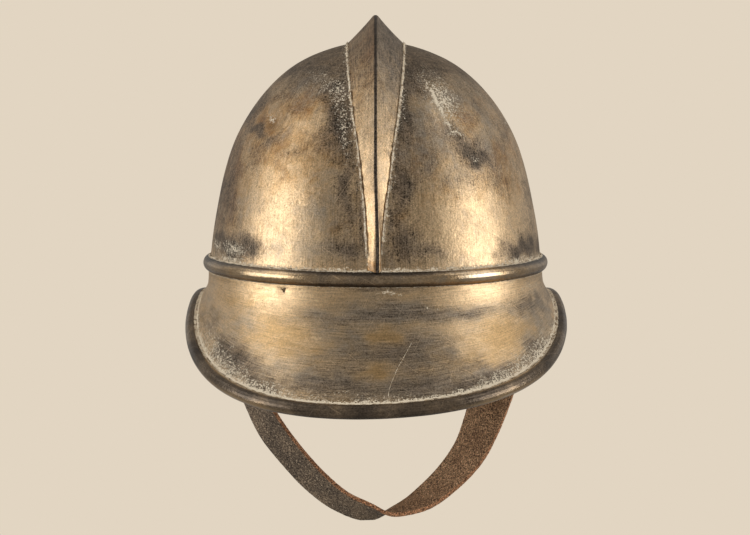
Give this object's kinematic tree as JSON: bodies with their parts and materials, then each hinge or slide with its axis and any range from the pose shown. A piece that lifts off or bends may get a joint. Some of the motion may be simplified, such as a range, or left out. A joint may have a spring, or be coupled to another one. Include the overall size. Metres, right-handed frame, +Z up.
{
  "type": "firefighter helmet",
  "caption": "Brass firefighter helmet: deep domed crown with a hollow comb, a bead above a wrap-round brim with a rolled edge, and a leather chin strap riveted inside.",
  "frame": {"origin": "middle of the crown's plan at the height of the bead's middle plane, where a head fills the crown", "axes": "+Z up the crown, -Y towards the peak (the wearer's front), +X to the wearer's left"},
  "size_m": [0.2326, 0.3414, 0.3175],
  "materials": {
    "crown_brass": "aged, half polished, with brown tarnish and pale polish residue",
    "comb_brass": "aged, dark along the ridge, residue along the foot seams",
    "bead_brass": "aged, rubbed on the outside",
    "brim_brass": "aged, streaked, with scratches and a small three-cornered hole",
    "roll_brass": "aged, dark with small dents",
    "stud_brass": "dull brass",
    "strap_leather": "worn: grey-black cracked grain outside, brown suede inside, raw brown edges"
  },
  "bodies": {
    "root": {"crown": "crown_brass", "comb": "comb_brass", "bead_ring": "bead_brass", "brim": "brim_brass", "rim_roll": "roll_brass", "chin_strap": "strap_leather", "strap_stud_left": "stud_brass", "strap_stud_right": "stud_brass"}
  },
  "joints": []
}
